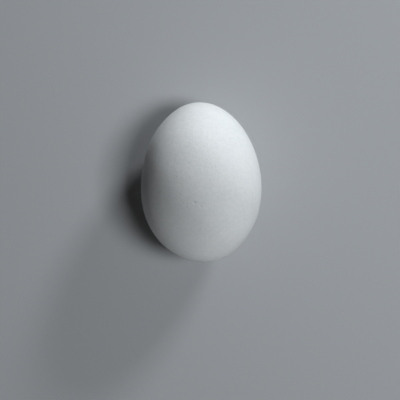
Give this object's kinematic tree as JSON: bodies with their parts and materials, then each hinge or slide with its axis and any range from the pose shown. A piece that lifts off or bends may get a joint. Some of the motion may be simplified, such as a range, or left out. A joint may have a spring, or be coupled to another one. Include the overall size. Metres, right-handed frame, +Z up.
{
  "type": "hard boiled egg in its shell",
  "caption": "Whole white egg in its unbroken shell, lying on its side on a small flat spot, pointed end towards +Y.",
  "frame": {"origin": "middle of the small flat spot that the egg rests on, straight below its centre of gravity", "axes": "+Z up, +Y towards the pointed end, +X across the egg; the long axis dips at the pointed end as an egg on a table does"},
  "size_m": [0.0432, 0.057, 0.043],
  "materials": {
    "shell": "matte to satin white eggshell with very fine dimples and pores"
  },
  "bodies": {
    "root": {"egg": "shell"}
  },
  "joints": []
}
